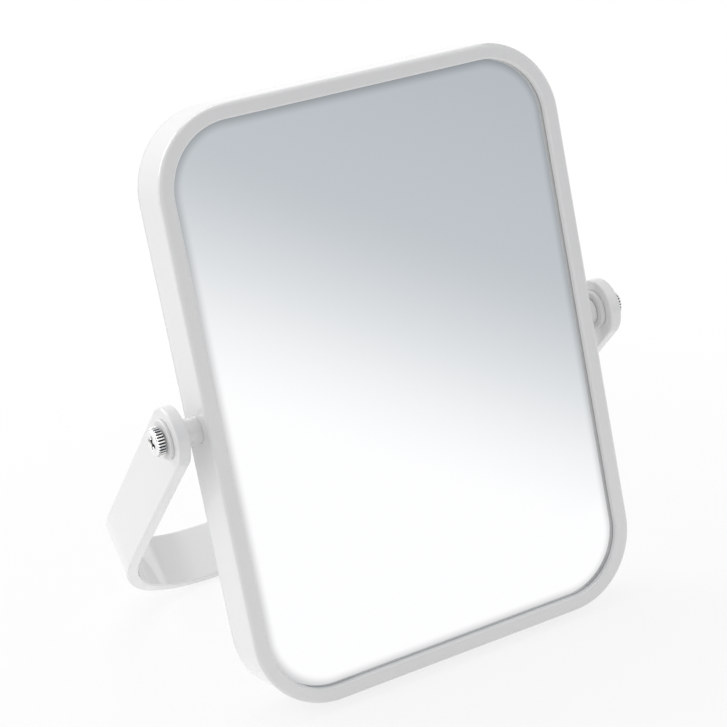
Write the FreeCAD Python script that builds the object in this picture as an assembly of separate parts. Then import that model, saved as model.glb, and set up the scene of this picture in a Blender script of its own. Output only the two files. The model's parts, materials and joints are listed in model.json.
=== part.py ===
import FreeCAD, Part
import math
import os
from FreeCAD import Vector

# Table makeup mirror: a two-sided mirror head that turns in a U-shaped bow on two thumb screws.
# Millimetres. X runs along the pivot, the plain mirror faces -Y, and +Z is up.
# The head and the bow are drawn upright round the pivot, then turned to how they stand.

# Mirror head
head_width = 148.0
head_height = 200.0
head_depth = 19.6
head_corner = 27.0
rim_face = 5.2
wall = 2.2
lip = 2.4
edge_round = 1.3
edge_steps = 3
lip_bevel = 0.4
lean = 10.25

# Rear bezel, which snaps into the back of the frame
cap = 1.8
seam = 0.15
skirt_gap = 0.15
skirt_wall = 1.2
skirt_depth = 5.0
skirt_notch = 22.0
snap_length = 9.0
snap_height = 0.45
snap_width = 1.2
snap_clear = 0.12
snap_side_place = 55.0
snap_end_place = 28.0

# Ribs inside the frame that centre the glass and the board
rib_height = 1.35
rib_width = 1.6
rib_end = 1.0
rib_sink = 0.2
rib_side_places = (-72.0, -40.0, 40.0, 72.0)
rib_end_places = (-42.0, 0.0, 42.0)
stop_rib_place = 6.6

# Glass, foam and board
glass_width = 140.2
glass_height = 192.6
glass_corner = 23.4
glass = 2.0
magnifier_radius = 1400.0
board = 2.0
board_front = -3.2
pad_margin = 12.0
pad_corner = 14.0
rear_pad_width = 96.0
rear_pad_height = 136.0
seat_gap = 0.05

# Bow
strap_width = 20.8
strap = 4.3
bow_half_width = 85.2
bow_reach = 133.4
upper_bend = 64.0
lower_bend = 40.5
upper_turn = 27.0
strap_bevel = 0.4

# Pivot, from the frame wall outwards
collar_radius = 4.6
collar_end = 79.0
collar_flange = 1.1
collar_flange_width = 9.0
collar_flange_height = 10.0
insert_radius = 2.9
insert_bore = 2.0
insert_start = 71.4
insert_end = 78.8
insert_ridges = 14
insert_ridge = 0.3
insert_clear = 0.02
washer_radius = 6.9
washer_face_radius = 6.2
washer_rim = 1.05
washer_start = 79.1
bush_radius = 3.4
bush_flange_radius = 6.7
bush_end = 86.4
bush_bore = 2.25
spring_radius = 4.1
spring_gap = 0.8
screw_radius = 1.93
screw_start = 72.0
screw_head_radius = 4.9
screw_head_start = 86.75
screw_head_end = 90.0
screw_crown_radius = 4.2
screw_crown = 0.6
knurl_count = 28
knurl_depth = 0.45
cross_span = 5.4
cross_width = 1.5
cross_depth = 1.5
cross_turn = 25.0
fit_gap = 0.05

# How far a cutting tool runs past what it cuts, and how close counts as touching
overcut = 1.0
near = 0.01

half_depth = head_depth / 2
wall_inside = head_width / 2 - wall
bow_inside = bow_half_width - strap


def rounded_outline(width, height, radius, y):
    x = width / 2
    z = height / 2
    diagonal = radius * math.sqrt(0.5)
    edges = []
    for sx, sz in ((1, 1), (-1, 1), (-1, -1), (1, -1)):
        centre = Vector(sx * (x - radius), y, sz * (z - radius))
        on_side = centre + Vector(sx * radius, 0, 0)
        on_end = centre + Vector(0, 0, sz * radius)
        middle = centre + Vector(sx * diagonal, 0, sz * diagonal)
        edges.append(Part.Arc(on_side, middle, on_end).toShape())
    edges.append(Part.makeLine(Vector(x, y, radius - z), Vector(x, y, z - radius)))
    edges.append(Part.makeLine(Vector(-x, y, radius - z), Vector(-x, y, z - radius)))
    edges.append(Part.makeLine(Vector(radius - x, y, z), Vector(x - radius, y, z)))
    edges.append(Part.makeLine(Vector(radius - x, y, -z), Vector(x - radius, y, -z)))
    return Part.Wire(Part.__sortEdges__(edges))


def rounded_slab(width, height, radius, y_front, y_back):
    face = Part.Face(rounded_outline(width, height, radius, y_front))
    return face.extrude(Vector(0, y_back - y_front, 0))


def inset_outline(inset, y):
    return rounded_outline(head_width - 2 * inset, head_height - 2 * inset, head_corner - inset, y)


def inset_slab(inset, y_front, y_back):
    return Part.Face(inset_outline(inset, y_front)).extrude(Vector(0, y_back - y_front, 0))


def edge_points():
    # The rounded rim in short flats, as (distance in from the side, distance down from the face).
    points = []
    for step in range(edge_steps + 1):
        angle = math.pi / 2 * step / edge_steps
        points.append((edge_round * (1 - math.sin(angle)), edge_round * (1 - math.cos(angle))))
    return points


def eased_slab(y_face, y_flat):
    # A slab of the head's outline with its rim rounded at y_face, lofted from outline to outline.
    inward = math.copysign(1, y_flat - y_face)
    sections = [inset_outline(inset, y_face + inward * depth) for inset, depth in edge_points()]
    return Part.makeLoft(sections + [inset_outline(0, y_flat)], True, True)


def centred_block(x, y, z, size_x, size_y, size_z):
    corner = Vector(x - size_x / 2, y - size_y / 2, z - size_z / 2)
    return Part.makeBox(size_x, size_y, size_z, corner)


def edges_at(shape, y, outline):
    # Edges in the plane at y that follow the given outline.
    found = []
    for edge in shape.Edges:
        box = edge.BoundBox
        flat = abs(box.YMin - y) < near and abs(box.YMax - y) < near
        middle = edge.valueAt((edge.FirstParameter + edge.LastParameter) / 2)
        if flat and outline.distToShape(Part.Vertex(middle))[0] < near:
            found.append(edge)
    return found


def turned(profile, side):
    # A piece turned about the pivot: profile points are (distance out along X, radius).
    points = [Vector(side * x, 0, radius) for x, radius in profile]
    face = Part.Face(Part.makePolygon(points + points[:1]))
    return face.revolve(Vector(0, 0, 0), Vector(1, 0, 0), 360)


def pivot_bar(radius, x_low, x_high, side):
    start = Vector(side * x_low, 0, 0)
    return Part.makeCylinder(radius, x_high - x_low, start, Vector(side, 0, 0))


def rib_blocks():
    ribs = []
    y_low = lip - half_depth
    top_inside = head_height / 2 - wall
    tall = rib_height + rib_sink
    y = (y_low + rib_end) / 2
    deep = rib_end - y_low
    for side in (-1, 1):
        x = side * (wall_inside + rib_sink - tall / 2)
        z_end = side * (top_inside + rib_sink - tall / 2)
        for z in rib_side_places + (-stop_rib_place, stop_rib_place):
            ribs.append(centred_block(x, y, z, tall, deep, rib_width))
        for end_x in rib_end_places:
            ribs.append(centred_block(end_x, y, z_end, rib_width, deep, tall))
    return ribs


def snap_places():
    top_inside = head_height / 2 - wall
    places = []
    for side in (-1, 1):
        for z in (-snap_side_place, snap_side_place):
            places.append((side * wall_inside, z, False))
        for x in (-snap_end_place, snap_end_place):
            places.append((x, side * top_inside, True))
    return places


def snap_block(x, z, along_x, grow):
    y = half_depth - cap - skirt_depth + snap_width
    long = snap_length + 2 * grow
    deep = 2 * (snap_height + grow)
    tall = snap_width + 2 * grow
    if along_x:
        return centred_block(x, y, z, long, tall, deep)
    return centred_block(x, y, z, deep, tall, long)


def make_frame():
    front = -half_depth
    back = half_depth - cap - seam
    body = eased_slab(front, back)
    body = body.cut(inset_slab(wall, front + lip, back + overcut))
    body = body.cut(inset_slab(rim_face, front - overcut, front + lip + overcut))
    body = body.makeChamfer(lip_bevel, edges_at(body, front, inset_outline(rim_face, front)))
    body = body.fuse(rib_blocks()).removeSplitter()
    pockets = [snap_block(x, z, along_x, snap_clear) for x, z, along_x in snap_places()]
    hole = collar_radius + fit_gap
    holes = [pivot_bar(hole, wall_inside - overcut, head_width / 2 + overcut, side) for side in (-1, 1)]
    return body.cut(pockets + holes)


def make_rear_bezel():
    back = half_depth
    cap_front = back - cap
    skirt_front = cap_front - skirt_depth
    outer_inset = wall + skirt_gap
    plate = eased_slab(back, cap_front)
    seat = inset_slab(outer_inset, back - lip, cap_front)
    skirt = inset_slab(outer_inset, skirt_front, back - lip)
    skirt = skirt.cut(inset_slab(outer_inset + skirt_wall, skirt_front - overcut, back - lip + overcut))
    notch_depth = back - lip - skirt_front
    notch_middle = skirt_front + notch_depth / 2
    skirt = skirt.cut(centred_block(0, notch_middle, 0, 2 * head_width, notch_depth, skirt_notch))
    lugs = [snap_block(x, z, along_x, 0) for x, z, along_x in snap_places()]
    lug_ring = inset_slab(wall - snap_height, skirt_front, cap_front)
    lug_ring = lug_ring.cut(inset_slab(outer_inset + skirt_wall, skirt_front - overcut, cap_front + overcut))
    lugs = [lug.common(lug_ring) for lug in lugs]
    ring = plate.fuse([seat, skirt] + lugs)
    ring = ring.cut(inset_slab(rim_face, skirt_front - overcut, back + overcut)).removeSplitter()
    return ring.makeChamfer(lip_bevel, edges_at(ring, back, inset_outline(rim_face, back)))


def make_front_mirror():
    front = lip - half_depth + seat_gap
    return rounded_slab(glass_width, glass_height, glass_corner, front, front + glass)


def corner_reach():
    # Distance from the glass's middle to the furthest point of its rounded corner.
    x = glass_width / 2 - glass_corner
    z = glass_height / 2 - glass_corner
    return math.hypot(x, z) + glass_corner


def magnifier_vertex():
    rim = half_depth - lip - seat_gap
    sag = magnifier_radius - math.sqrt(magnifier_radius ** 2 - corner_reach() ** 2)
    return rim - sag


def ball(radius, y_vertex):
    # A sphere whose foremost point is at y_vertex, behind which it bulges.
    return Part.makeSphere(radius, Vector(0, y_vertex + radius, 0))


def make_rear_mirror():
    vertex = magnifier_vertex()
    front = vertex - glass - overcut
    outline = rounded_slab(glass_width, glass_height, glass_corner, front, half_depth - lip)
    return outline.common(ball(magnifier_radius + glass, vertex - glass)).cut(ball(magnifier_radius, vertex))


def make_front_pad():
    front = lip - half_depth + 2 * seat_gap + glass
    width = glass_width - 2 * pad_margin
    height = glass_height - 2 * pad_margin
    return rounded_slab(width, height, pad_corner, front, board_front - seat_gap)


def make_centre_board():
    return rounded_slab(glass_width, glass_height, glass_corner, board_front, board_front + board)


def make_rear_pad():
    front = board_front + board + seat_gap
    vertex = magnifier_vertex() - glass - seat_gap
    foam = rounded_slab(rear_pad_width, rear_pad_height, pad_corner, front, half_depth - lip)
    return foam.cut(ball(magnifier_radius + glass + seat_gap, vertex))


def make_collar(side):
    flange_start = wall_inside - fit_gap - collar_flange
    flange_end = wall_inside - fit_gap
    barrel = turned([
        (flange_start, insert_radius),
        (flange_start, collar_radius),
        (collar_end, collar_radius),
        (collar_end, insert_radius),
    ], side)
    flange = centred_block(side * (flange_start + flange_end) / 2, 0, 0,
                           collar_flange, collar_flange_width, collar_flange_height)
    bore = pivot_bar(insert_radius, flange_start - overcut, flange_end + overcut, side)
    return barrel.fuse(flange.cut(bore)).removeSplitter()


def toothed_prism(outer, depth, count, start, end, side):
    # A round bar along the pivot with straight V-shaped teeth.
    points = []
    for step in range(2 * count):
        radius = outer - depth * (step % 2)
        angle = math.pi * step / count
        points.append(Vector(side * start, radius * math.cos(angle), radius * math.sin(angle)))
    face = Part.Face(Part.makePolygon(points + points[:1]))
    return face.extrude(Vector(side * (end - start), 0, 0))


def make_insert(side):
    outer = insert_radius - insert_clear
    body = toothed_prism(outer, insert_ridge, insert_ridges, insert_start, insert_end, side)
    return body.cut(pivot_bar(insert_bore, insert_start - overcut, insert_end + overcut, side))


def make_friction_washer(side):
    # A ring against the ear, coned off towards the collar.
    end = bow_inside - fit_gap
    return turned([
        (washer_start, bush_bore),
        (washer_start, washer_face_radius),
        (end - washer_rim, washer_radius),
        (end, washer_radius),
        (end, bush_bore),
    ], side)


def make_bush(side):
    flange_start = bow_half_width + fit_gap
    return turned([
        (bow_inside + fit_gap, bush_bore),
        (bow_inside + fit_gap, bush_radius),
        (flange_start, bush_radius),
        (flange_start, bush_flange_radius),
        (bush_end, bush_flange_radius),
        (bush_end, bush_bore),
    ], side)


def make_spring_washer(side):
    # A split ring under the screw's head.
    start = bush_end + fit_gap
    end = screw_head_start - fit_gap
    ring = pivot_bar(spring_radius, start, end, side)
    ring = ring.cut(pivot_bar(bush_bore, start - overcut, end + overcut, side))
    middle = side * (start + end) / 2
    through = end - start + 2 * overcut
    return ring.cut(centred_block(middle, 0, spring_radius, through, spring_gap, 2 * spring_radius))


def make_screw(side):
    crown_start = screw_head_end - screw_crown
    shank = pivot_bar(screw_radius, screw_start, screw_head_start, side)
    rim = toothed_prism(screw_head_radius, knurl_depth, knurl_count, screw_head_start, crown_start, side)
    crown = pivot_bar(screw_crown_radius, crown_start, screw_head_end, side)
    screw = shank.fuse([rim, crown])
    slot = cross_depth + overcut
    middle = side * (screw_head_end - cross_depth + slot / 2)
    slots = [centred_block(middle, 0, 0, slot, cross_span, cross_width),
             centred_block(middle, 0, 0, slot, cross_width, cross_span)]
    screw = screw.cut(slots).removeSplitter()
    screw.rotate(Vector(0, 0, 0), Vector(1, 0, 0), cross_turn)
    return screw


def bend_points(inset):
    # Points of the left half of the strap's run, from the ear down to the middle of the crossbar.
    first = upper_bend - inset
    second = lower_bend - inset
    turn = math.radians(upper_turn)
    half = turn / 2
    mid_heading = (turn + math.pi / 2) / 2
    x = inset - bow_half_width
    drop = (upper_bend * math.sin(turn) + lower_bend * (1 - math.sin(turn)))
    z = drop - bow_reach
    start = Vector(x, 0, z)
    arc_1 = start + Vector(first * (1 - math.cos(half)), 0, -first * math.sin(half))
    joint = start + Vector(first * (1 - math.cos(turn)), 0, -first * math.sin(turn))
    centre = joint + Vector(second * math.cos(turn), 0, second * math.sin(turn))
    arc_2 = centre + Vector(-second * math.cos(mid_heading), 0, -second * math.sin(mid_heading))
    end = centre + Vector(0, 0, -second)
    return start, arc_1, joint, arc_2, end


def mirrored(point):
    return Vector(-point.x, point.y, point.z)


def strap_side(inset, top):
    start, arc_1, joint, arc_2, end = bend_points(inset)
    edges = [Part.makeLine(Vector(start.x, 0, top), start), Part.Arc(start, arc_1, joint).toShape(),
             Part.Arc(joint, arc_2, end).toShape(), Part.makeLine(end, mirrored(end))]
    edges.append(Part.Arc(mirrored(end), mirrored(arc_2), mirrored(joint)).toShape())
    edges.append(Part.Arc(mirrored(joint), mirrored(arc_1), mirrored(start)).toShape())
    edges.append(Part.makeLine(mirrored(start), Vector(-start.x, 0, top)))
    return edges


def make_bow():
    top = strap_width
    outer = strap_side(0, top)
    inner = strap_side(strap, top)
    ends = [Part.makeLine(Vector(side * bow_half_width, 0, top), Vector(side * bow_inside, 0, top))
            for side in (-1, 1)]
    face = Part.Face(Part.Wire(Part.__sortEdges__(outer + inner + ends)))
    face.translate(Vector(0, -strap_width / 2, 0))
    bar = face.extrude(Vector(0, strap_width, 0))
    across = 2 * (bow_half_width + overcut)
    ear = Part.makeCylinder(strap_width / 2, across, Vector(-across / 2, 0, 0), Vector(1, 0, 0))
    tall = bow_reach + overcut
    below = centred_block(0, 0, -tall / 2, across, strap_width, tall)
    bar = bar.common(ear.fuse(below).removeSplitter()).removeSplitter()
    bar = bar.makeChamfer(strap_bevel, strap_edges(bar))
    eye = bush_radius + fit_gap
    eyes = [pivot_bar(eye, bow_inside - overcut, bow_half_width + overcut, side) for side in (-1, 1)]
    return bar.cut(eyes)


def strap_edges(bar):
    # The long edges of the strap: all but the short ones that cross its width or its thickness.
    found = []
    for edge in bar.Edges:
        box = edge.BoundBox
        level = box.ZLength < near
        crosses_width = level and box.XLength < near and box.YLength > strap_width - near
        crosses_thickness = level and box.YLength < near and box.XLength < strap + near
        if not crosses_width and not crosses_thickness:
            found.append(edge)
    return found


def crossbar_corner():
    # The two lines of the crossbar's bevelled edge, as (distance from the pivot, distance from the middle).
    half = strap_width / 2
    return (bow_reach, half - strap_bevel), (bow_reach - strap_bevel, half)


def bow_angle(pivot_height):
    # Swing behind the vertical that puts the crossbar's front edge on the floor.
    angles = [math.atan2(across, along) + math.acos(pivot_height / math.hypot(along, across))
              for along, across in crossbar_corner()]
    return math.degrees(max(angles))


def edge_extent(angle):
    # How far the head's rounded rim reaches from the pivot, along a line turned by angle from its upright.
    reach = [(head_height / 2 - inset) * math.cos(angle) + (half_depth - depth) * math.sin(angle)
             for inset, depth in edge_points()]
    return max(reach)


def head_pieces():
    pieces = {
        "frame": make_frame(),
        "rear_bezel": make_rear_bezel(),
        "front_mirror": make_front_mirror(),
        "rear_mirror": make_rear_mirror(),
        "front_pad": make_front_pad(),
        "rear_pad": make_rear_pad(),
        "centre_board": make_centre_board(),
    }
    for name, side in (("left", -1), ("right", 1)):
        pieces[name + "_collar"] = make_collar(side)
        pieces[name + "_insert"] = make_insert(side)
        pieces[name + "_pivot_screw"] = make_screw(side)
    return pieces


def bow_pieces():
    pieces = {"bow": make_bow()}
    for name, side in (("left", -1), ("right", 1)):
        pieces[name + "_bush"] = make_bush(side)
        pieces[name + "_friction_washer"] = make_friction_washer(side)
        pieces[name + "_spring_washer"] = make_spring_washer(side)
    return pieces


def stand(pieces, angle, offset):
    for shape in pieces.values():
        shape.rotate(Vector(0, 0, 0), Vector(1, 0, 0), angle)
        shape.translate(offset)


def rest_offset(pivot_height, swing):
    # Moves the pivot so that the origin is on the floor, under the middle of the whole depth.
    back = math.radians(swing)
    y_front = -edge_extent(math.radians(90 - lean))
    y_back = max(along * math.sin(back) + across * math.cos(back) for along, across in crossbar_corner())
    return Vector(0, -(y_front + y_back) / 2, pivot_height)


def build():
    pivot_height = edge_extent(math.radians(lean))
    swing = bow_angle(pivot_height)
    offset = rest_offset(pivot_height, swing)
    head = head_pieces()
    bow = bow_pieces()
    stand(head, -lean, offset)
    stand(bow, swing, offset)
    head.update(bow)
    os.makedirs("parts", exist_ok=True)
    for name, shape in head.items():
        shape.exportStep("parts/" + name + ".step")
        print(name, shape.isValid(), len(shape.Solids), round(shape.Volume / 1000, 3), "cm3")
    print("pivot at", round(offset.y, 3), round(offset.z, 3), "bow swing", round(swing, 3))


build()
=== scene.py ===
import json
import math
import bmesh
import bpy
import numpy as np
from mathutils import Matrix, Vector


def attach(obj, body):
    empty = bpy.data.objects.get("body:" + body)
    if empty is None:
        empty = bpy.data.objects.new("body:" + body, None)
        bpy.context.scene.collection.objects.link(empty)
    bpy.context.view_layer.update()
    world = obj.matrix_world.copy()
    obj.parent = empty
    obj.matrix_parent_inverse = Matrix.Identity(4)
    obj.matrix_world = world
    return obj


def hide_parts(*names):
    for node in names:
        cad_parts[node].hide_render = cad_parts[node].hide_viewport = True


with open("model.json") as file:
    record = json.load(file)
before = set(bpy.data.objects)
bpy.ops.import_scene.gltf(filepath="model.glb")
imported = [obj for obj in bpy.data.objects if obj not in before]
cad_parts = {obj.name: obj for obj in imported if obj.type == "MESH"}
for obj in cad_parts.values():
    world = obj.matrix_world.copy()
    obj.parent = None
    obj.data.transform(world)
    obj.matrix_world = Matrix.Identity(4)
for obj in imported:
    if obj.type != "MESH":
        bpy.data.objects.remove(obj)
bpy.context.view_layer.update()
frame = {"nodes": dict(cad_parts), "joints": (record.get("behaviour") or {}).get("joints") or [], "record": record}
print("frame loaded:", len(frame["nodes"]), "nodes")

mm = 0.001
weldGap = 2e-7      # metres, between points that two grids share
sliverGap = 1e-6    # metres, for what a boolean leaves behind
tiny = 1e-9         # keeps a quarter turn's cosine, which is not quite nought, on its side
mounts = {mount["name"]: mount for mount in frame["record"]["mounts"]}
pivot = np.array(frame["joints"][0]["pos_m"])
leanAxis = mounts["rear_rest"]["axis"]
footAxis = mounts["crossbar_foot"]["axis"]
leanAngle = math.atan2(-leanAxis[2], leanAxis[1])     # head leans back by this
swingAngle = math.atan2(footAxis[1], -footAxis[2])    # bow stands behind the vertical by this


# Pieces are drawn in millimetres round the pivot, upright, then turned about X and moved to the pivot
def placed(points, angle):
    x, y, z = np.moveaxis(np.asarray(points, float) * mm, -1, 0)
    c, s = math.cos(angle), math.sin(angle)
    return np.stack([x, y * c - z * s, y * s + z * c], -1) + pivot


def onHead(points):
    return placed(points, -leanAngle)


def onBow(points):
    return placed(points, swingAngle)


def addToScene(thing):
    bpy.context.scene.collection.objects.link(thing)


def gridQuads(rows, cols, loopRows=False, loopCols=False):
    # quads between the neighbours of a rows x cols grid, carried round where it is a loop
    steps = np.arange(rows - (not loopRows)), np.arange(cols - (not loopCols))
    r, c = np.meshgrid(*steps, indexing="ij")
    r2, c2 = (r + 1) % rows, (c + 1) % cols
    return np.stack([r * cols + c, r * cols + c2, r2 * cols + c2, r2 * cols + c], -1).reshape(-1, 4)


def gridMesh(name, grids, marks=None):
    # grids are (points, loopRows, loopCols), welded where they meet; marks are values for each point
    verts, quads, start = [], [], 0
    for points, loopRows, loopCols in grids:
        rows, cols = points.shape[:2]
        verts.append(points.reshape(-1, 3))
        quads.append(gridQuads(rows, cols, loopRows, loopCols) + start)
        start += rows * cols
    verts, quads = np.concatenate(verts), np.concatenate(quads)
    mesh = bpy.data.meshes.new(name)
    mesh.vertices.add(len(verts))
    mesh.vertices.foreach_set("co", verts.ravel())
    mesh.loops.add(quads.size)
    mesh.loops.foreach_set("vertex_index", quads.ravel())
    mesh.polygons.add(len(quads))
    mesh.polygons.foreach_set("loop_start", np.arange(0, quads.size, 4))
    mesh.update(calc_edges=True)
    for label, values in (marks or {}).items():
        layer = mesh.attributes.new(label, "FLOAT", "POINT")
        layer.data.foreach_set("value", values.ravel())
    bm = bmesh.new()
    bm.from_mesh(mesh)
    bmesh.ops.remove_doubles(bm, verts=bm.verts, dist=weldGap)
    bmesh.ops.recalc_face_normals(bm, faces=bm.faces)
    bm.to_mesh(mesh)
    bm.free()
    return mesh


def combine(piece, operation, shapes):
    # boolean of the piece with closed solids, each a grid that goes round between two poles
    tool = bpy.data.objects.new("tool", gridMesh("tool", [(points, True, False) for points in shapes]))
    addToScene(tool)
    step = piece.modifiers.new("step", "BOOLEAN")
    step.object, step.operation, step.solver = tool, operation, "EXACT"
    whole = piece.evaluated_get(bpy.context.evaluated_depsgraph_get())
    piece.data = bpy.data.meshes.new_from_object(whole)
    piece.modifiers.clear()
    bpy.data.objects.remove(tool)
    bm = bmesh.new()
    bm.from_mesh(piece.data)
    bmesh.ops.remove_doubles(bm, verts=bm.verts, dist=sliverGap)
    bmesh.ops.triangulate(bm, faces=[face for face in bm.faces if len(face.verts) > 4])
    bmesh.ops.dissolve_degenerate(bm, edges=bm.edges, dist=sliverGap)
    bm.to_mesh(piece.data)
    bm.free()


def makePiece(name, body, nodes, material, grids, sharp=40, marks=None, added=None, cut=None):
    piece = bpy.data.objects.new(name, gridMesh(name, grids, marks))
    addToScene(piece)
    piece.data.materials.append(material)
    if added:
        combine(piece, "UNION", added)
    if cut:
        combine(piece, "DIFFERENCE", cut)
    piece.data.shade_smooth()
    piece.data.set_sharp_from_angle(angle=math.radians(sharp))
    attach(piece, body)
    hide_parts(*nodes)
    return piece


def unit(vectors):
    return vectors / np.linalg.norm(vectors, axis=-1, keepdims=True)


def fullTurn(steps, start=0.0):
    return np.linspace(start, start + 2 * math.pi, steps, endpoint=False)


def roundedLoop(corners, steps=6, support=0.12):
    # closed outline of (a, b, radius) corners: each becomes an arc between its tangent points,
    # start + radius (sin t . along + (1 - cos t) . across), with a support point on both sides
    table = np.array(corners, float)
    points, radius = table[:, :2], table[:, 2]
    along = unit(points - np.roll(points, 1, 0))
    leaving = unit(np.roll(points, -1, 0) - points)
    turn = np.arccos(np.clip((along * leaving).sum(-1), -1, 1))
    across = unit(leaving - along * np.cos(turn)[:, None])
    start = points - along * (radius * np.tan(turn / 2))[:, None]
    t = turn[:, None] * np.linspace(0, 1, steps + 1)
    sweep = np.sin(t)[..., None] * along[:, None] + (1 - np.cos(t))[..., None] * across[:, None]
    arcs = start[:, None] + radius[:, None, None] * sweep
    before = arcs[:, :1] - support * along[:, None]
    after = arcs[:, -1:] + support * leaving[:, None]
    return np.concatenate([before, arcs, after], 1).reshape(-1, 2)


def headPath(width, height, radius, cornerSteps=26, sideSteps=10):
    # rounded rectangle in x and z, as points and normals n: corner arcs centre + radius . n,
    # with straight sides (1 - u) . end of one arc + u . start of the next
    turn = np.linspace(0, math.pi / 2, cornerSteps + 1) + np.arange(4)[:, None] * math.pi / 2
    n = np.stack([np.cos(turn), np.sin(turn)], -1)
    signs = np.array([[1, 1], [-1, 1], [-1, -1], [1, -1]])
    centres = signs * (np.array([width, height]) / 2 - radius)
    arcs = centres[:, None] + radius * n
    u = np.linspace(0, 1, sideSteps + 1)[1:-1, None]
    sides = arcs[:, -1:] * (1 - u) + np.roll(arcs, -1, 0)[:, :1] * u
    sideNormals = np.repeat(n[:, -1:], len(u), 1)
    path = np.concatenate([arcs, sides], 1).reshape(-1, 2)
    return path, np.concatenate([n, sideNormals], 1).reshape(-1, 2)


def insetRound(path, normals, inset):
    # (x, z) = path - inset . normal, with one column for each inset
    return path[:, None] - normals[:, None] * inset[None, :, None]


def turnedRing(profile, side, steps=96):
    # profile (x, r) turned about the pivot: (side . x, r cos t, r sin t)
    t = fullTurn(steps)[:, None]
    x, r = profile[None, :, 0], profile[None, :, 1]
    across = np.broadcast_to(side * x, (steps, len(profile)))
    return np.stack([across, r * np.cos(t), r * np.sin(t)], -1)


def pivotBar(radius, start, end, side):
    # plain cylinder about the pivot
    return turnedRing(np.array([(start, 0), (start, radius), (end, radius), (end, 0)], float), side)


def block(centre, size):
    # closed box: four rows of x and z signs go round it, each from pole over front and back corner to pole
    signs = np.array([[-1, -1], [1, -1], [1, 1], [-1, 1]])
    reach = np.array([0, 1, 1, 0])
    x, z = signs[:, :1] * reach, signs[:, 1:] * reach
    y = np.broadcast_to([-1, -1, 1, 1], x.shape)
    return np.array(centre) + np.stack([x, y, z], -1) * np.array(size) / 2


# Node helpers for materials and the studio
def addNode(tree, kind, settings=None, **inputs):
    made = tree.nodes.new(kind)
    for key, value in (settings or {}).items():
        setattr(made, key, value)
    for key, value in inputs.items():
        setInput(tree, made, key.replace("_", " "), value)
    return made


def setInput(tree, made, key, value):
    # n0, n1 and so on stand for a socket's number, other keys for its name
    numbered = key[0] == "n" and key[1:].isdigit()
    socket = made.inputs[int(key[1:]) if numbered else key]
    if isinstance(value, bpy.types.NodeSocket):
        tree.links.new(value, socket)
    else:
        socket.default_value = value


def objectCoords(tree):
    return addNode(tree, "ShaderNodeTexCoord").outputs["Object"]


def stretched(tree, vector, stretch, turn=(0.0, 0.0, 0.0)):
    made = addNode(tree, "ShaderNodeMapping", Vector=vector, Rotation=turn, Scale=stretch)
    return made.outputs["Vector"]


def noise(tree, vector, scale, detail):
    made = addNode(tree, "ShaderNodeTexNoise", Vector=vector, Scale=scale, Detail=detail)
    return made.outputs["Fac"]


def attribute(tree, name):
    return addNode(tree, "ShaderNodeAttribute", {"attribute_name": name}).outputs["Fac"]


def calc(tree, operation, a, b):
    return addNode(tree, "ShaderNodeMath", {"operation": operation}, n0=a, n1=b).outputs[0]


def mapped(tree, value, low, high, toLow, toHigh, smooth=False):
    kind = "SMOOTHSTEP" if smooth else "LINEAR"
    made = addNode(tree, "ShaderNodeMapRange", {"interpolation_type": kind}, Value=value, From_Min=low,
                   From_Max=high, To_Min=toLow, To_Max=toHigh)
    return made.outputs["Result"]


def softStep(tree, value, low, high):
    return mapped(tree, value, low, high, 0.0, 1.0, smooth=True)


def mixedColour(tree, factor, a, b):
    # sockets 6 and 7 and output 2 are the colours of a Mix node
    return addNode(tree, "ShaderNodeMix", {"data_type": "RGBA"}, n0=factor, n6=a, n7=b).outputs[2]


def mixedShader(tree, factor, a, b):
    return addNode(tree, "ShaderNodeMixShader", n0=factor, n1=a, n2=b).outputs[0]


def glowing(tree, kind, colour, strength=1.0):
    return addNode(tree, kind, Color=colour, Strength=strength).outputs[0]


def newGroup(name, inputs, outputs):
    group = bpy.data.node_groups.new(name, "ShaderNodeTree")
    for label, default in inputs.items():
        socket = group.interface.new_socket(label, in_out="INPUT", socket_type="NodeSocketFloat")
        socket.default_value = default
    for label in outputs:
        group.interface.new_socket(label, in_out="OUTPUT", socket_type="NodeSocketFloat")
    return group, group.nodes.new("NodeGroupInput").outputs, group.nodes.new("NodeGroupOutput")


def groupIn(tree, group, **inputs):
    return addNode(tree, "ShaderNodeGroup", {"node_tree": group}, **inputs).outputs


# spread is where most of a pattern's values lie
skinForm = {"scales": {"Drift Scale": 14, "Wave Scale": 160, "Grain Scale": 5200}, "grain": 0.12,
            "spread": (0.3, 0.7)}
wipes = {"scales": {"Smear Scale": 22, "Streak Scale": 260, "Cover": 0.5}, "full": 0.75,
         "turn": (0.0, 0.6, 0.0), "stretch": (1.0, 1.0, 0.22), "spread": (0.0, 0.8)}


# Moulded skin: slow drift of tone, shallow waviness of the mould and fine grain, on Object coordinates
def mouldedSkin():
    group, given, out = newGroup("mouldedSkin", skinForm["scales"], ["Drift", "Height"])
    coords = objectCoords(group)
    wave = noise(group, coords, given["Wave Scale"], detail=1.0)
    grain = noise(group, coords, given["Grain Scale"], detail=2.0)
    height = calc(group, "ADD", wave, calc(group, "MULTIPLY", grain, skinForm["grain"]))
    setInput(group, out, "Drift", noise(group, coords, given["Drift Scale"], detail=3.0))
    setInput(group, out, "Height", height)
    return group


# Handling marks: soft wiped smears with finer streaks inside them
def handlingMarks():
    group, given, out = newGroup("handlingMarks", wipes["scales"], ["Marks"])
    coords = objectCoords(group)
    wiped = stretched(group, coords, wipes["stretch"], wipes["turn"])
    smear = noise(group, coords, given["Smear Scale"], detail=4.0)
    streak = noise(group, wiped, given["Streak Scale"], detail=3.0)
    patch = softStep(group, smear, given["Cover"], wipes["full"])
    setInput(group, out, "Marks", calc(group, "MULTIPLY", patch, streak))
    return group


skinGroup = mouldedSkin()
marksGroup = handlingMarks()


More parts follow.
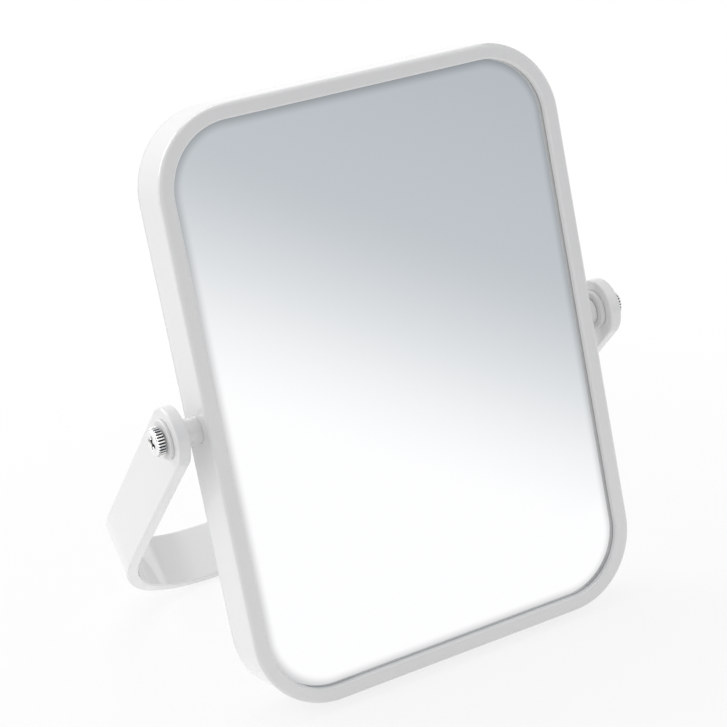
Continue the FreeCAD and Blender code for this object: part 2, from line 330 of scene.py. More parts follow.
def newMaterial(name):
    material = bpy.data.materials.new(name)
    material.use_nodes = True
    tree = material.node_tree
    return material, tree, tree.nodes["Principled BSDF"]


def setRoughness(tree, shader, value, spread, rough):
    # roughness from its first to its second value, as a pattern goes over its spread
    setInput(tree, shader, "Roughness", mapped(tree, value, *spread, *rough))


def setBump(tree, shader, height, distance):
    bump = addNode(tree, "ShaderNodeBump", Height=height, Distance=distance)
    setInput(tree, shader, "Normal", bump.outputs["Normal"])


glossWhite = {"light": (0.868, 0.866, 0.862, 1), "dark": (0.848, 0.847, 0.844, 1), "rough": (0.04, 0.08),
              "bump": 0.000012, "ior": 1.5, "coat": 0.6, "coatRough": 0.03}
nylonWhite = {"light": (0.85, 0.85, 0.84, 1), "dark": (0.80, 0.80, 0.795, 1), "rough": (0.3, 0.42),
              "bump": 0.00002, "ior": 1.5, "coat": 0.0, "coatRough": 0.03}


def mouldedPlastic(name, finish):
    material, tree, shader = newMaterial(name)
    skin = groupIn(tree, skinGroup)
    marks = groupIn(tree, marksGroup)
    setInput(tree, shader, "Base Color", mixedColour(tree, skin["Drift"], finish["dark"], finish["light"]))
    setRoughness(tree, shader, marks["Marks"], wipes["spread"], finish["rough"])
    setBump(tree, shader, skin["Height"], finish["bump"])
    shader.inputs["IOR"].default_value = finish["ior"]
    shader.inputs["Coat Weight"].default_value = finish["coat"]
    shader.inputs["Coat Roughness"].default_value = finish["coatRough"]
    return material


# rim is the silver's colour under a painted shade along the lip, clear its colour elsewhere
silver = {"clear": (0.985, 0.99, 0.995, 1), "rim": (0.585, 0.59, 0.595, 1), "rimShadeFrom": 0.9, "rimShadeTo": 5.3,
          "rough": (0.012, 0.05), "smear": 16.0, "cover": 0.56}


def mirrorSilver(name, finish):
    # silvered glass: a painted shade under the lip darkens the silver's colour by the "rim" value, in mm from the
    # glass's edge
    material, tree, shader = newMaterial(name)
    shade = softStep(tree, attribute(tree, "rim"), finish["rimShadeFrom"], finish["rimShadeTo"])
    setInput(tree, shader, "Base Color", mixedColour(tree, shade, finish["rim"], finish["clear"]))
    marks = groupIn(tree, marksGroup, Smear_Scale=finish["smear"], Cover=finish["cover"])
    setRoughness(tree, shader, marks["Marks"], wipes["spread"], finish["rough"])
    shader.inputs["Metallic"].default_value = 1.0
    return material


def metalSkin(tree, shader, finish):
    # the moulded skin's patterns at a finer scale, for roughness and waviness; returns the drift of tone
    skin = groupIn(tree, skinGroup, Drift_Scale=finish["drift"], Wave_Scale=finish["wave"])
    setRoughness(tree, shader, skin["Drift"], skinForm["spread"], finish["rough"])
    setBump(tree, shader, skin["Height"], finish["bump"])
    shader.inputs["Metallic"].default_value = 1.0
    return skin["Drift"]


# the groove colour is a painted shade for the hollows of the knurl and the cross
chromed = {"bright": (0.9, 0.9, 0.89, 1), "grooveShade": (0.03, 0.03, 0.03, 1), "grooveShadeFrom": 0.1,
           "grooveShadeTo": 0.85, "rough": (0.1, 0.24), "drift": 300.0, "wave": 900.0, "bump": 0.000004}


def chromeSteel(name, finish):
    # plated steel with a painted shade, dark where the groove value says that the surface lies deep
    material, tree, shader = newMaterial(name)
    metalSkin(tree, shader, finish)
    deep = softStep(tree, attribute(tree, "grooveShade"), finish["grooveShadeFrom"], finish["grooveShadeTo"])
    setInput(tree, shader, "Base Color", mixedColour(tree, deep, finish["bright"], finish["grooveShade"]))
    return material


yellowBrass = {"dark": (0.74, 0.58, 0.27, 1), "light": (0.82, 0.66, 0.34, 1), "rough": (0.24, 0.4),
               "drift": 420.0, "wave": 1600.0, "bump": 0.00001}
greySteel = {"dark": (0.5, 0.5, 0.51, 1), "light": (0.6, 0.6, 0.61, 1), "rough": (0.25, 0.38),
             "drift": 420.0, "wave": 1600.0, "bump": 0.00001}


def plainMetal(name, finish):
    material, tree, shader = newMaterial(name)
    drift = metalSkin(tree, shader, finish)
    setInput(tree, shader, "Base Color", mixedColour(tree, drift, finish["dark"], finish["light"]))
    return material


# the open colour is a painted shade for the cells' hollows
foamCells = {"wall": (0.76, 0.76, 0.74, 1), "open": (0.4, 0.4, 0.39, 1), "wallTo": 0.02, "poreShadeFrom": 0.3,
             "scale": 900.0, "bump": 0.0003, "rough": 0.95}


def openFoam(name, finish):
    # cells of a Voronoi pattern: walls stand proud and pale, the middles lie deep and take a painted shade
    material, tree, shader = newMaterial(name)
    cells = addNode(tree, "ShaderNodeTexVoronoi", {"feature": "DISTANCE_TO_EDGE"},
                    Vector=objectCoords(tree), Scale=finish["scale"])
    middle = softStep(tree, cells.outputs["Distance"], finish["wallTo"], finish["poreShadeFrom"])
    setInput(tree, shader, "Base Color", mixedColour(tree, middle, finish["wall"], finish["open"]))
    setBump(tree, shader, calc(tree, "SUBTRACT", 1.0, middle), finish["bump"])
    shader.inputs["Roughness"].default_value = finish["rough"]
    return material


boardFibres = {"light": (0.5, 0.37, 0.25, 1), "dark": (0.36, 0.25, 0.16, 1), "stretch": (0.2, 1.0, 1.0),
               "scale": 1500.0, "bump": 0.00015, "rough": 0.8}


def pressedBoard(name, finish):
    # pressed fibres: noise drawn out along X
    material, tree, shader = newMaterial(name)
    drawn = stretched(tree, objectCoords(tree), finish["stretch"])
    fibre = noise(tree, drawn, finish["scale"], detail=5.0)
    setInput(tree, shader, "Base Color", mixedColour(tree, fibre, finish["dark"], finish["light"]))
    setBump(tree, shader, fibre, finish["bump"])
    shader.inputs["Roughness"].default_value = finish["rough"]
    return material


whitePlastic = mouldedPlastic("whitePlastic", glossWhite)
whiteNylon = mouldedPlastic("whiteNylon", nylonWhite)
mirrorGlass = mirrorSilver("mirrorGlass", silver)
chrome = chromeSteel("chromePlate", chromed)
brass = plainMetal("insertBrass", yellowBrass)
steel = plainMetal("springSteel", greySteel)
foam = openFoam("greyFoam", foamCells)
hardboard = pressedBoard("pressedBoard", boardFibres)
print("materials ready")

head = {"width": 148.0, "height": 200.0, "corner": 27.0, "halfDepth": 9.8, "rimFace": 5.2, "wall": 2.2,
        "lip": 2.4, "edgeRound": 1.43, "lipRound": 0.69, "lipBackRound": 0.15, "innerRound": 0.1,
        "seamRound": 0.12, "roundSteps": 8,
        "ribs": {"tall": 1.35, "sink": 0.2, "wide": 1.6, "end": 1.0, "ends": (-42.0, 0.0, 42.0),
                 "sides": (-72.0, -40.0, -6.6, 6.6, 40.0, 72.0)}}
rear = {"cap": 1.8, "seam": 0.15, "skirtGap": 0.15, "skirtWall": 1.2, "skirtDepth": 5.0, "skirtRound": 0.2,
        "notch": 22.0, "notchShift": 0.1,
        "snaps": {"long": 9.0, "tall": 0.45, "wide": 1.2, "clear": 0.12, "ends": (-28.0, 28.0),
                  "sides": (-55.0, 55.0)}}
collar = {"from": 70.65, "to": 79.0, "radius": 4.6, "bore": 2.9, "flange": 1.1, "flangeWide": 9.0,
          "flangeHigh": 10.0, "flangeRound": 0.1, "neckRound": 0.05, "endRound": 0.35, "boreRound": 0.2,
          "support": 0.02, "holeGap": 0.05, "holeBeyond": 1.0}    # the hole's cutter goes beyond the wall


def headRing(corners):
    # profile of (inset, y) corners carried round the head's outline
    path, normals = headPath(head["width"], head["height"], head["corner"])
    profile = roundedLoop(corners, steps=head["roundSteps"])
    xz = insetRound(path, normals, profile[:, 0])
    y = np.broadcast_to(profile[:, 1], xz.shape[:2])
    return onHead(np.stack([xz[..., 0], y, xz[..., 1]], -1))


def wallBlocks(places, inside, y, tall, deep, length):
    # blocks along the inner walls, tall across the wall, with their middles this far inside it
    wallX = head["width"] / 2 - head["wall"] - inside
    wallZ = head["height"] / 2 - head["wall"] - inside
    blocks = []
    for side in (-1, 1):
        blocks += [block((side * wallX, y, z), (tall, deep, length)) for z in places["sides"]]
        blocks += [block((x, y, side * wallZ), (length, deep, tall)) for x in places["ends"]]
    return [onHead(points) for points in blocks]


def ribBlocks():
    # ribs from the front lip to their end, sunk a little into lip and wall
    ribs = head["ribs"]
    front = head["lip"] - head["halfDepth"] - ribs["sink"]
    return wallBlocks(ribs, (ribs["tall"] - ribs["sink"]) / 2, (front + ribs["end"]) / 2,
                      ribs["tall"] + ribs["sink"], ribs["end"] - front, ribs["wide"])


def snapBlocks(clear):
    # snaps near the skirt's front edge, or their pockets where there is a clearance
    snaps = rear["snaps"]
    y = head["halfDepth"] - rear["cap"] - rear["skirtDepth"] + snaps["wide"]
    return wallBlocks(snaps, 0, y, 2 * (snaps["tall"] + clear), snaps["wide"] + 2 * clear,
                      snaps["long"] + 2 * clear)


def pivotHoles():
    start = head["width"] / 2 - head["wall"] - collar["holeBeyond"]
    end = head["width"] / 2 + collar["holeBeyond"]
    return [onHead(pivotBar(collar["radius"] + collar["holeGap"], start, end, side)) for side in (-1, 1)]


def makeFrameShell():
    front, back = -head["halfDepth"], head["halfDepth"] - rear["cap"] - rear["seam"]
    lipBack = front + head["lip"]
    surface = headRing([(0, back, head["seamRound"]), (0, front, head["edgeRound"]),
                        (head["rimFace"], front, head["lipRound"]),
                        (head["rimFace"], lipBack, head["lipBackRound"]),
                        (head["wall"], lipBack, head["innerRound"]), (head["wall"], back, head["seamRound"])])
    makePiece("frameShell", "head", ["frame"], whitePlastic, [(surface, True, True)],
              added=ribBlocks(), cut=snapBlocks(rear["snaps"]["clear"]) + pivotHoles())


def makeBezelRing():
    back = head["halfDepth"]
    capFront = back - rear["cap"]
    skirtFront = capFront - rear["skirtDepth"]
    skirtOut = head["wall"] + rear["skirtGap"]
    skirtIn = skirtOut + rear["skirtWall"]
    seat = back - head["lip"]
    surface = headRing([(0, capFront, head["seamRound"]), (skirtOut, capFront, head["innerRound"]),
                        (skirtOut, skirtFront, rear["skirtRound"]), (skirtIn, skirtFront, rear["skirtRound"]),
                        (skirtIn, seat, head["innerRound"]), (head["rimFace"], seat, head["lipBackRound"]),
                        (head["rimFace"], back, head["lipRound"]), (0, back, head["edgeRound"])])
    notchSize = 2 * (skirtIn - head["wall"]), seat - skirtFront, rear["notch"]
    notchY = (skirtFront + seat) / 2 - rear["notchShift"]
    notches = [block((side * (head["width"] / 2 - skirtIn), notchY, 0), notchSize) for side in (-1, 1)]
    makePiece("bezelRing", "head", ["rear_bezel"], whitePlastic, [(surface, True, True)],
              added=snapBlocks(0), cut=[onHead(points) for points in notches])


glass = {"width": 140.2, "height": 192.6, "corner": 23.4, "thick": 2.0, "arris": 0.3, "seat": 0.05,
         "bowlRadius": 1400.0, "rimRows": 24, "rimWidth": 6.0, "middleRows": 14, "farFromRim": 40.0}


def glassRows():
    # from the middle of one face to its edge: even steps of the outline's scale, then of inset near the rim
    scale = np.linspace(0, 1, glass["middleRows"] + 1)[:-1]
    inset = np.linspace(glass["rimWidth"], glass["arris"], glass["rimRows"] + 1)
    return (np.concatenate([scale, np.ones(len(inset))]),
            np.concatenate([np.full(len(scale), glass["rimWidth"]), inset]))


def glassFace():
    # y of a glass's edge where it meets the lip
    return head["halfDepth"] - head["lip"] - glass["seat"]


def bowlSag(squared, radius):
    # depth of a sphere at a squared distance from its axis: r - sqrt(r2 - x2 - z2)
    return radius - np.sqrt(radius ** 2 - squared)


def bowlVertex():
    # y of the middle of the concave face, whose far corners meet the lip
    corner = glass["corner"]
    reach = math.hypot(glass["width"] / 2 - corner, glass["height"] / 2 - corner) + corner
    return glassFace() - bowlSag(reach ** 2, glass["bowlRadius"])


def makeGlass(name, node, facing):
    # facing -1 is the plain front glass, +1 the rear one, whose face is a sphere
    path, normals = headPath(glass["width"], glass["height"], glass["corner"])
    scale, inset = glassRows()
    xz = scale[None, :, None] * insetRound(path, normals, inset)
    y = np.full(xz.shape[:2], -glassFace())
    if facing > 0:
        y = bowlVertex() + bowlSag((xz ** 2).sum(-1), glass["bowlRadius"])
    shown = np.stack([xz[..., 0], y, xz[..., 1]], -1)
    hidden = shown - np.array([0, facing * glass["thick"], 0])
    # ground edge: out to the outline, in from both faces by the arris
    edges = np.concatenate([shown[:, -1:], hidden[:, -1:]], 1)
    edges[..., [0, 2]] = path[:, None]
    edges[..., 1] += facing * glass["arris"] * np.array([-1, 1])
    surface = np.concatenate([shown, edges, hidden[:, ::-1]], 1)
    # rim values, in mm from the edge, place the painted shade under the lip
    distance = np.where(scale < 1, glass["farFromRim"], inset)
    rim = np.broadcast_to(np.concatenate([distance, [0, 0], distance[::-1]]), surface.shape[:2])
    makePiece(name, "head", [node], mirrorGlass, [(onHead(surface), True, False)], sharp=25,
              marks={"rim": rim})


pads = {"front": {"width": 116.2, "height": 168.6, "corner": 14.0, "from": -5.3, "to": -3.25},
        "rear": {"width": 96.0, "height": 136.0, "corner": 14.0, "from": -1.15, "glassGap": 0.1},
        "both": {"cornerSteps": 14, "sideSteps": 16, "faceRows": 11, "sideRows": 9, "drawnIn": 0.5}}


def makePad(name, node, pad, backFace):
    # foam pad: flat where it is stuck on, its sides drawn in at mid-thickness by a sine
    both = pads["both"]
    rows, sides = both["faceRows"], both["sideRows"]
    path, normals = headPath(pad["width"], pad["height"], pad["corner"], both["cornerSteps"],
                             both["sideSteps"])
    outwards = np.linspace(0, 1, rows + 1)[:-1]
    scale = np.concatenate([outwards, np.ones(sides), outwards[::-1]])
    depth = np.concatenate([np.zeros(rows), np.linspace(0, 1, sides), np.ones(rows)])
    drawn = np.where(scale == 1, both["drawnIn"] * np.sin(math.pi * depth), 0)
    xz = scale[None, :, None] * insetRound(path, normals, drawn)
    y = pad["from"] + depth[None] * (backFace(xz) - pad["from"])
    surface = np.stack([xz[..., 0], y, xz[..., 1]], -1)
    piece = makePiece(name, "head", [node], foam, [(onHead(surface), True, False)], sharp=60)


def frontPadBack(xz):
    return np.full(xz.shape[:2], pads["front"]["to"])


def rearPadBack(xz):
    # a hair's gap from the concave glass's hidden side: a sphere larger by the glass's thickness
    hidden = bowlVertex() - glass["thick"] - pads["rear"]["glassGap"]
    return hidden + bowlSag((xz ** 2).sum(-1), glass["bowlRadius"] + glass["thick"])


makeFrameShell()
makeBezelRing()
makeGlass("plainGlass", "front_mirror", -1)
makeGlass("bowlGlass", "rear_mirror", 1)
makePad("frontFoam", "front_pad", pads["front"], frontPadBack)
makePad("rearFoam", "rear_pad", pads["rear"], rearPadBack)
print("mirror head ready")

strap = {"width": 20.8, "thick": 4.3, "halfSpan": 85.2, "reach": 133.4, "upperBend": 64.0, "upperTurn": 27.0,
         "lowerBend": 40.5, "round": 0.7, "roundSteps": 8, "support": 0.12, "barSteps": 7, "bendStep": 1.2,
         "legSteps": 9, "endSteps": 48,
         "eye": {"radius": 3.45, "edge": 0.2, "support": 0.02, "rowsFrom": 0.1, "rows": 6}}


def strapLengths():
    # lengths along the outer face from the crossbar's middle: end of crossbar, lower bend, upper bend, pivot
    turn = math.radians(strap["upperTurn"])
    inward = strap["upperBend"] * (1 - math.cos(turn)) + strap["lowerBend"] * math.cos(turn)
    drop = strap["upperBend"] * math.sin(turn) + strap["lowerBend"] * (1 - math.sin(turn))
    return np.cumsum([strap["halfSpan"] - inward, strap["lowerBend"] * (math.pi / 2 - turn),
                      strap["upperBend"] * turn, strap["reach"] - drop])


def bentStrap(s, w, t):
    # flat strap (s along, w across, t in from the outer face) bent through the two arcs on each side:
    # it turns by length / radius along each arc, and place = arc's start + radius . change of direction
    turn = math.radians(strap["upperTurn"])
    bar, low, high, _ = strapLengths()
    length = np.abs(s)
    a = np.clip((length - bar) / strap["lowerBend"], 0, math.pi / 2 - turn)
    b = np.clip((length - low) / strap["upperBend"], 0, turn)
    angle = a + b
    x = np.minimum(length, bar) + strap["lowerBend"] * np.sin(a)
    x = x + strap["upperBend"] * (np.sin(angle) - np.sin(a))
    z = strap["lowerBend"] * (1 - np.cos(a)) + strap["upperBend"] * (np.cos(a) - np.cos(angle))
    z = z + np.maximum(length - high, 0)
    x, z = x - t * np.sin(angle), z + t * np.cos(angle)
    return onBow(np.stack([np.where(s < 0, -x, x), w, z - strap["reach"]], -1))


def strapStations(half):
    # places along the strap up to the square round each eye, closer together in the bends
    bar, _, high, end = strapLengths()
    run = np.concatenate([np.linspace(0, bar, strap["barSteps"] + 1)[:-1],
                          np.arange(bar, high, strap["bendStep"]),
                          np.linspace(high, end - half, strap["legSteps"] + 1)])
    return np.concatenate([-run[:0:-1], run])


def strapFace(depth, half):
    # flat of one face, with the lines along it fanned like half . tan(angle) to meet the eye's patch
    across = half * np.tan(np.linspace(-math.pi / 4, math.pi / 4, strap["endSteps"] // 2 + 1))
    s, w = np.meshgrid(strapStations(half), across, indexing="ij")
    return bentStrap(s, w, np.full_like(s, depth))


def eyeTurn():
    return fullTurn(2 * strap["endSteps"], -math.pi / 2)[:, None]


def eyePatch(depth, half, side):
    # from the eye's circle out to the strap's round end on one side and a square on the other:
    # radius = eye + q (rim - eye), rim = half on the round, half / max(|cos|, |sin|) on the square
    eye, end = strap["eye"], strapLengths()[-1]
    c, s = np.cos(eyeTurn()), np.sin(eyeTurn())
    rim = np.where(c >= -tiny, half, half / np.maximum(np.abs(c), np.abs(s)))
    rows = np.linspace(eye["rowsFrom"], 1 - eye["support"], eye["rows"])
    q = np.concatenate([[0, eye["support"]], rows, [1]])[None]
    radius = eye["radius"] + q * (rim - eye["radius"])
    along = side * (end + radius * c)
    return bentStrap(along, radius * s, np.full_like(along, depth))


def eyeWall(side):
    # the hole's wall: along = end + eye cos t, across = eye sin t, at four depths
    eye, end = strap["eye"], strapLengths()[-1]
    depth = np.array([[0, eye["edge"], strap["thick"] - eye["edge"], strap["thick"]]])
    c, s, depth = np.broadcast_arrays(np.cos(eyeTurn()), np.sin(eyeTurn()), depth)
    return bentStrap(side * (end + eye["radius"] * c), eye["radius"] * s, depth)


def strapEdge(half):
    # the faces' outline, along +w, round the right end, back along -w and round the left end, pushed out
    # by r sin(t) and down by r (1 - cos(t)): a quarter round, the flat and another quarter round
    end, r = strapLengths()[-1], strap["round"]
    fan = np.linspace(0, math.pi / 4, strap["endSteps"] // 4 + 1)
    foot = end - half * np.tan(fan)[1:-1]
    straight = np.concatenate([-foot, strapStations(half), foot[::-1]])
    arc = np.linspace(math.pi / 2, -math.pi / 2, strap["endSteps"] + 1)
    middle = np.concatenate([np.stack([straight, 0 * straight], -1), np.full((len(arc), 2), (end, 0))])
    sideways = np.full((len(straight), 2), (0.0, 1.0))
    normal = np.concatenate([sideways, np.stack([np.cos(arc), np.sin(arc)], -1)])
    outline = middle + half * normal
    outline, normal = np.concatenate([outline, -outline]), np.concatenate([normal, -normal])
    t = np.linspace(0, math.pi / 2, strap["roundSteps"] + 1)
    out, down, flat = r * np.sin(t), r * (1 - np.cos(t)), r + strap["support"]
    spread = np.concatenate([out, [r, r], out[::-1]])
    depth = np.concatenate([down, [flat, strap["thick"] - flat], strap["thick"] - down[::-1]])
    place = outline[:, None] + normal[:, None] * spread[None, :, None]
    return bentStrap(place[..., 0], place[..., 1], np.broadcast_to(depth, place.shape[:2]))


def makeBowStrap():
    half = strap["width"] / 2 - strap["round"]
    grids = [(strapEdge(half), True, False)]
    for depth in (0.0, strap["thick"]):
        grids.append((strapFace(depth, half), False, False))
        grids += [(eyePatch(depth, half, side), True, False) for side in (-1, 1)]
    grids += [(eyeWall(side), True, False) for side in (-1, 1)]
    makePiece("bowStrap", "bow", ["bow"], whitePlastic, grids, sharp=50)


makeBowStrap()
print("bow ready")

washer = {"from": 79.1, "to": 80.85, "radius": 6.9, "bore": 2.25, "headRound": 1.0, "earRound": 0.25,
          "boreRound": 0.1, "support": 0.08}
bush = {"from": 80.95, "shoulder": 85.25, "to": 86.4, "radius": 3.4, "flange": 6.7, "bore": 2.25,
        "tipRound": 0.15, "neckRound": 0.05, "flangeRound": 0.1, "endRound": 0.4, "boreRound": 0.1,
        "support": 0.06}


def collarRing(side):
    # a turned sleeve whose flange, drawn at flangeHigh, goes out to a rectangle:
    # r = 1 / max(|cos t| / half width, |sin t| / half height)
    high, behind = collar["flangeHigh"] / 2, collar["from"] + collar["flange"]
    ring = roundedLoop([(collar["from"], collar["bore"], collar["flangeRound"]),
                        (collar["from"], high, collar["flangeRound"]), (behind, high, collar["flangeRound"]),
                        (behind, collar["radius"], collar["neckRound"]),
                        (collar["to"], collar["radius"], collar["endRound"]),
                        (collar["to"], collar["bore"], collar["boreRound"])], support=collar["support"])
    surface = turnedRing(ring, side)
    radius = ring[:, 1]
    t = fullTurn(len(surface))
    square = 1 / np.maximum(np.abs(np.cos(t)) / (collar["flangeWide"] / 2), np.abs(np.sin(t)) / high)
    share = np.clip((radius - collar["radius"]) / (high - collar["radius"]), 0, 1)
    grown = 1 + share * (square[:, None] - high) / radius
    surface[..., 1:] *= grown[..., None]
    return surface


def washerRing(side):
    # turned ring, well rounded towards the head
    ring = roundedLoop([(washer["from"], washer["bore"], washer["boreRound"]),
                        (washer["from"], washer["radius"], washer["headRound"]),
                        (washer["to"], washer["radius"], washer["earRound"]),
                        (washer["to"], washer["bore"], washer["boreRound"])], support=washer["support"])
    return turnedRing(ring, side)


def bushRing(side):
    # turned sleeve through the eye, with a flange outside
    ring = roundedLoop([(bush["from"], bush["bore"], bush["boreRound"]),
                        (bush["from"], bush["radius"], bush["tipRound"]),
                        (bush["shoulder"], bush["radius"], bush["neckRound"]),
                        (bush["shoulder"], bush["flange"], bush["flangeRound"]),
                        (bush["to"], bush["flange"], bush["endRound"]),
                        (bush["to"], bush["bore"], bush["boreRound"])], support=bush["support"])
    return turnedRing(ring, side)


def makePivotRings(name, side):
    makePiece(name + "Collar", "head", [name + "_collar"], whitePlastic,
              [(onHead(collarRing(side)), True, True)])
    makePiece(name + "FrictionRing", "bow", [name + "_friction_washer"], whiteNylon,
              [(onBow(washerRing(side)), True, True)])
    makePiece(name + "BushRing", "bow", [name + "_bush"], whiteNylon,
              [(onBow(bushRing(side)), True, True)])


screw = {"shank": {"tip": 72.0, "tipRadius": 1.3, "cone": 0.5, "coneRadius": 1.55, "radius": 1.93,
                   "neck": 1.9},
         "thread": {"afterTip": 0.6, "beforeHead": 2.0, "pitch": 0.7, "depth": 0.36, "rows": 6},
         "knurl": {"from": 86.75, "to": 89.4, "radius": 4.9, "teeth": 28, "depth": 0.45, "steps": 6,
                   "steep": 1.6, "flat": 0.3, "underRadius": 4.3, "lip": 0.05, "lipRadius": 4.45,
                   "lipShare": 0.3, "bevel": 0.3, "support": 0.45, "outerRadius": 4.5, "outerShare": 0.4},
         "crown": {"top": 90.0, "flatRadius": 3.5, "flatRows": 34, "roundFrom": 3.6, "roundWide": 0.58,
                   "roundHigh": 0.55, "roundRows": 7},
         "cross": {"span": 5.4, "width": 1.5, "depth": 1.5, "turn": 25.0, "soft": 0.12, "shade": 0.62}}


def screwRows():
    # rows of (x, radius, share of knurl, share of thread) from the tip's middle to the crown's
    shank, thread, knurl, crown = (screw[part] for part in ("shank", "thread", "knurl", "crown"))
    tip, under, end, rim = shank["tip"], knurl["from"], knurl["to"], knurl["radius"]
    point = [(tip, 0, 0, 0), (tip, shank["tipRadius"], 0, 0),
             (tip + shank["cone"], shank["coneRadius"], 0, 0)]
    threadFrom, threadTo = tip + thread["afterTip"], under - thread["beforeHead"]
    x = np.arange(threadFrom, threadTo, thread["pitch"] / thread["rows"])
    swell = np.clip(np.minimum(x - threadFrom, threadTo - x) / thread["pitch"], 0, 1)
    turns = np.stack([x, 0 * x + shank["radius"], 0 * x, swell], -1)
    knob = [(under - shank["neck"], shank["radius"], 0, 0), (under, shank["radius"], 0, 0),
            (under, knurl["underRadius"], 0, 0),
            (under + knurl["lip"], knurl["lipRadius"], knurl["lipShare"], 0),
            (under + knurl["bevel"], rim, 1, 0), (under + knurl["support"], rim, 1, 0),
            (end - knurl["support"], rim, 1, 0), (end - knurl["bevel"], rim, 1, 0),
            (end - knurl["lip"], knurl["outerRadius"], knurl["outerShare"], 0)]
    t = np.linspace(0, math.pi / 2, crown["roundRows"])
    height = crown["top"] - crown["roundHigh"] * (1 - np.sin(t))
    edge = crown["roundFrom"] + crown["roundWide"] * np.cos(t)
    radii = np.concatenate([edge, np.linspace(crown["flatRadius"], 0, crown["flatRows"])])
    heights = np.concatenate([height, np.full(crown["flatRows"], crown["top"])])
    dome = np.stack([heights, radii, 0 * radii, 0 * radii], -1)
    return np.concatenate([point, turns, knob, dome])


def makeScrew(name, body, node, side):
    # the rows turned about the pivot; the knurl takes its depth . a clipped triangle wave off the radius,
    # the thread its depth . a triangle wave of x / pitch - angle, and the cross's slots sink the crown
    thread, knurl, crown, cross = (screw[part] for part in ("thread", "knurl", "crown", "cross"))
    t = fullTurn(knurl["teeth"] * knurl["steps"])[:, None]
    x, radius, knurlShare, threadShare = screwRows().T[:, None]
    wave = np.abs((t * knurl["teeth"] / (2 * math.pi)) % 1 * 2 - 1)
    tooth = knurlShare * np.clip(knurl["steep"] * wave - knurl["flat"], 0, 1)
    helix = threadShare * np.abs((x / thread["pitch"] - side * t / (2 * math.pi)) % 1 * 2 - 1)
    radius = radius - knurl["depth"] * tooth - thread["depth"] * helix
    a, b = np.abs(radius * np.cos(t)), np.abs(radius * np.sin(t))
    span, width = cross["span"] / 2, cross["width"] / 2
    inside = np.maximum(np.minimum(span - a, width - b), np.minimum(span - b, width - a))
    sunk = np.where(x >= crown["top"], np.clip(inside / cross["soft"] + 0.5, 0, 1), 0)
    turn = t + math.radians(cross["turn"])
    along = side * (x - cross["depth"] * sunk)
    surface = np.stack([along, radius * np.cos(turn), radius * np.sin(turn)], -1)
    # painted shade down the cross's slots and between the knurl's teeth
    grooveShade = np.maximum(cross["shade"] * np.minimum(2 * sunk, 1), tooth)
    makePiece(name, body, [node], chrome, [(onHead(surface), True, False)], sharp=35,
              marks={"grooveShade": grooveShade})


for name, side in (("left", -1), ("right", 1)):
    makePivotRings(name, side)
    makeScrew(name + "ThumbScrew", name + "_screw", name + "_pivot_screw", side)
print("pivots ready")

hiddenFinish = {"centre_board": hardboard, "left_insert": brass, "right_insert": brass,
                "left_spring_washer": steel, "right_spring_washer": steel}
for node, material in hiddenFinish.items():
    mesh = frame["nodes"][node].data
    mesh.materials.clear()
    mesh.materials.append(material)
print("hidden nodes finished")

pureWhite = (1, 1, 1, 1)
disc = {"radius": 0.36, "spokes": 96, "rings": 9, "tone": (0.92, 0.92, 0.92, 1), "glowNear": 0.8,
        "shadeFrom": 0.12, "shadeTo": 0.33, "fadeFrom": 0.2}


def paleFloor():
    # to the camera the floor glows, wholly so at its rim, and takes its shade near the object;
    # mirrors see it glow and fade out towards its rim
    material = bpy.data.materials.new("paleFloor")
    material.use_nodes = True
    tree = material.node_tree
    tree.nodes.clear()
    plain = addNode(tree, "ShaderNodeBsdfDiffuse", Color=disc["tone"]).outputs[0]
    glow = glowing(tree, "ShaderNodeEmission", pureWhite)
    clear = addNode(tree, "ShaderNodeBsdfTransparent").outputs[0]
    ray = addNode(tree, "ShaderNodeLightPath").outputs
    length = addNode(tree, "ShaderNodeVectorMath", {"operation": "LENGTH"}, n0=objectCoords(tree))
    reach = length.outputs["Value"]
    share = mapped(tree, reach, disc["shadeFrom"], disc["shadeTo"], disc["glowNear"], 1.0, smooth=True)
    shown = mixedShader(tree, ray["Is Camera Ray"], plain, mixedShader(tree, share, plain, glow))
    fade = softStep(tree, reach, disc["fadeFrom"], disc["radius"])
    mirrored = calc(tree, "MAXIMUM", ray["Is Glossy Ray"], ray["Is Transmission Ray"])
    shown = mixedShader(tree, mirrored, shown, mixedShader(tree, fade, glow, clear))
    addNode(tree, "ShaderNodeOutputMaterial", Surface=shown)
    return material


def makeFloor():
    # disc (r cos t, r sin t, 0)
    t = fullTurn(disc["spokes"])[:, None]
    r = np.linspace(0, disc["radius"], disc["rings"])[None]
    points = np.stack([r * np.cos(t), r * np.sin(t), 0 * r * t], -1)
    quads = gridQuads(disc["spokes"], disc["rings"], True, False)[:, ::-1]
    mesh = bpy.data.meshes.new("studioFloor")
    mesh.from_pydata(points.reshape(-1, 3).tolist(), [], quads.tolist())
    mesh.materials.append(paleFloor())
    floor = bpy.data.objects.new("studioFloor", mesh)
    addToScene(floor)


ambientLight = {"colour": (0.985, 0.99, 1.0, 1), "strength": 0.6}
seenSky = {"gradient": (-0.56, -0.148, -0.817), "far": (0.482, 0.515, 0.55, 1),
           "near": (0.56, 0.592, 0.62, 1), "farFrom": -0.22, "nearFrom": -0.11, "whiteFrom": -0.145,
           "whiteTo": -0.02, "sideFrom": -0.7, "sideTo": -0.1, "lowFrom": -0.15, "lowTo": -0.085}
darkCard = {"tone": (0.05, 0.05, 0.05, 1), "rightFrom": 0.54, "rightTo": 0.62, "upFrom": 0.2, "upTo": 0.3}


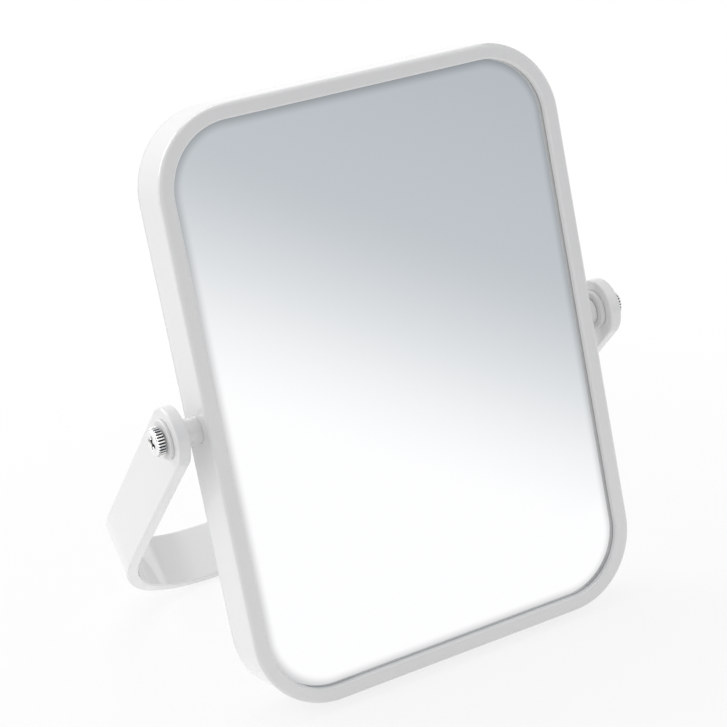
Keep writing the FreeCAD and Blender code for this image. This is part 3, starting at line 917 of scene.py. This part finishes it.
def mirroredSky(tree):
    # white behind, beside and below, in front a soft change to grey blue, and a dark card to the right and up
    way = addNode(tree, "ShaderNodeTexCoord").outputs["Generated"]
    axes = addNode(tree, "ShaderNodeSeparateXYZ", Vector=way).outputs
    dot = addNode(tree, "ShaderNodeVectorMath", {"operation": "DOT_PRODUCT"}, n0=way, n1=seenSky["gradient"])
    lean = dot.outputs["Value"]
    depth = mapped(tree, lean, seenSky["farFrom"], seenSky["nearFrom"], 0.0, 1.0)
    beyond = softStep(tree, lean, seenSky["whiteFrom"], seenSky["whiteTo"])
    beside = softStep(tree, axes["Y"], seenSky["sideFrom"], seenSky["sideTo"])
    below = mapped(tree, axes["Z"], seenSky["lowFrom"], seenSky["lowTo"], 1.0, 0.0, smooth=True)
    white = calc(tree, "MAXIMUM", beyond, calc(tree, "MAXIMUM", beside, below))
    seen = mixedColour(tree, depth, seenSky["far"], seenSky["near"])
    seen = mixedColour(tree, white, seen, pureWhite)
    card = calc(tree, "MULTIPLY", softStep(tree, axes["X"], darkCard["rightFrom"], darkCard["rightTo"]),
                softStep(tree, axes["Z"], darkCard["upFrom"], darkCard["upTo"]))
    return mixedColour(tree, card, seen, darkCard["tone"])


def makeWorld():
    # plain ambient light, white to the camera, and a sky of its own for what gloss mirrors
    world = bpy.data.worlds.new("studio")
    world.use_nodes = True
    tree = world.node_tree
    tree.nodes.clear()
    ray = addNode(tree, "ShaderNodeLightPath").outputs
    mirrored = glowing(tree, "ShaderNodeBackground", mirroredSky(tree))
    ambient = glowing(tree, "ShaderNodeBackground", ambientLight["colour"], ambientLight["strength"])
    backdrop = glowing(tree, "ShaderNodeBackground", pureWhite)
    light = mixedShader(tree, ray["Is Glossy Ray"], ambient, mirrored)
    addNode(tree, "ShaderNodeOutputWorld", Surface=mixedShader(tree, ray["Is Camera Ray"], light, backdrop))
    bpy.context.scene.world = world


lampAim = Vector((0.0, 0.0, 0.1))
lamps = {"key": {"at": (-0.75, 0.95, 0.75), "size": 0.9, "power": 5.2},
         "left": {"at": (-1.1, 0.1, 0.35), "size": 0.8, "power": 1.4},
         "top": {"at": (0.0, 0.3, 1.2), "size": 0.8, "power": 3.3},
         "fill": {"at": (0.5, -0.5, 0.55), "size": 0.7, "power": 0.5}}


def makeLamps():
    for name, lamp in lamps.items():
        light = bpy.data.lights.new(name, "AREA")
        light.shape, light.size, light.energy = "DISK", lamp["size"], lamp["power"]
        holder = bpy.data.objects.new(name, light)
        holder.location = lamp["at"]
        holder.rotation_euler = (lampAim - Vector(lamp["at"])).to_track_quat("-Z", "Y").to_euler()
        addToScene(holder)


view = {"fromPivot": (-0.2954, -0.55389, 0.244863), "right": (0.86711, -0.48756, -0.10202),
        "up": (0.25989, 0.26809, 0.92768), "lens": 99.63, "sensor": 36.0}


def makeCamera():
    right, up = Vector(view["right"]).normalized(), Vector(view["up"]).normalized()
    camera = bpy.data.objects.new("camera", bpy.data.cameras.new("camera"))
    camera.matrix_world = Matrix((right, up, right.cross(up))).transposed().to_4x4()
    camera.location = Vector(pivot) + Vector(view["fromPivot"])
    camera.data.lens, camera.data.sensor_width = view["lens"], view["sensor"]
    addToScene(camera)
    bpy.context.scene.camera = camera


makeFloor()
makeWorld()
makeLamps()
makeCamera()
bpy.context.scene.view_settings.view_transform = "Standard"
print("studio ready")
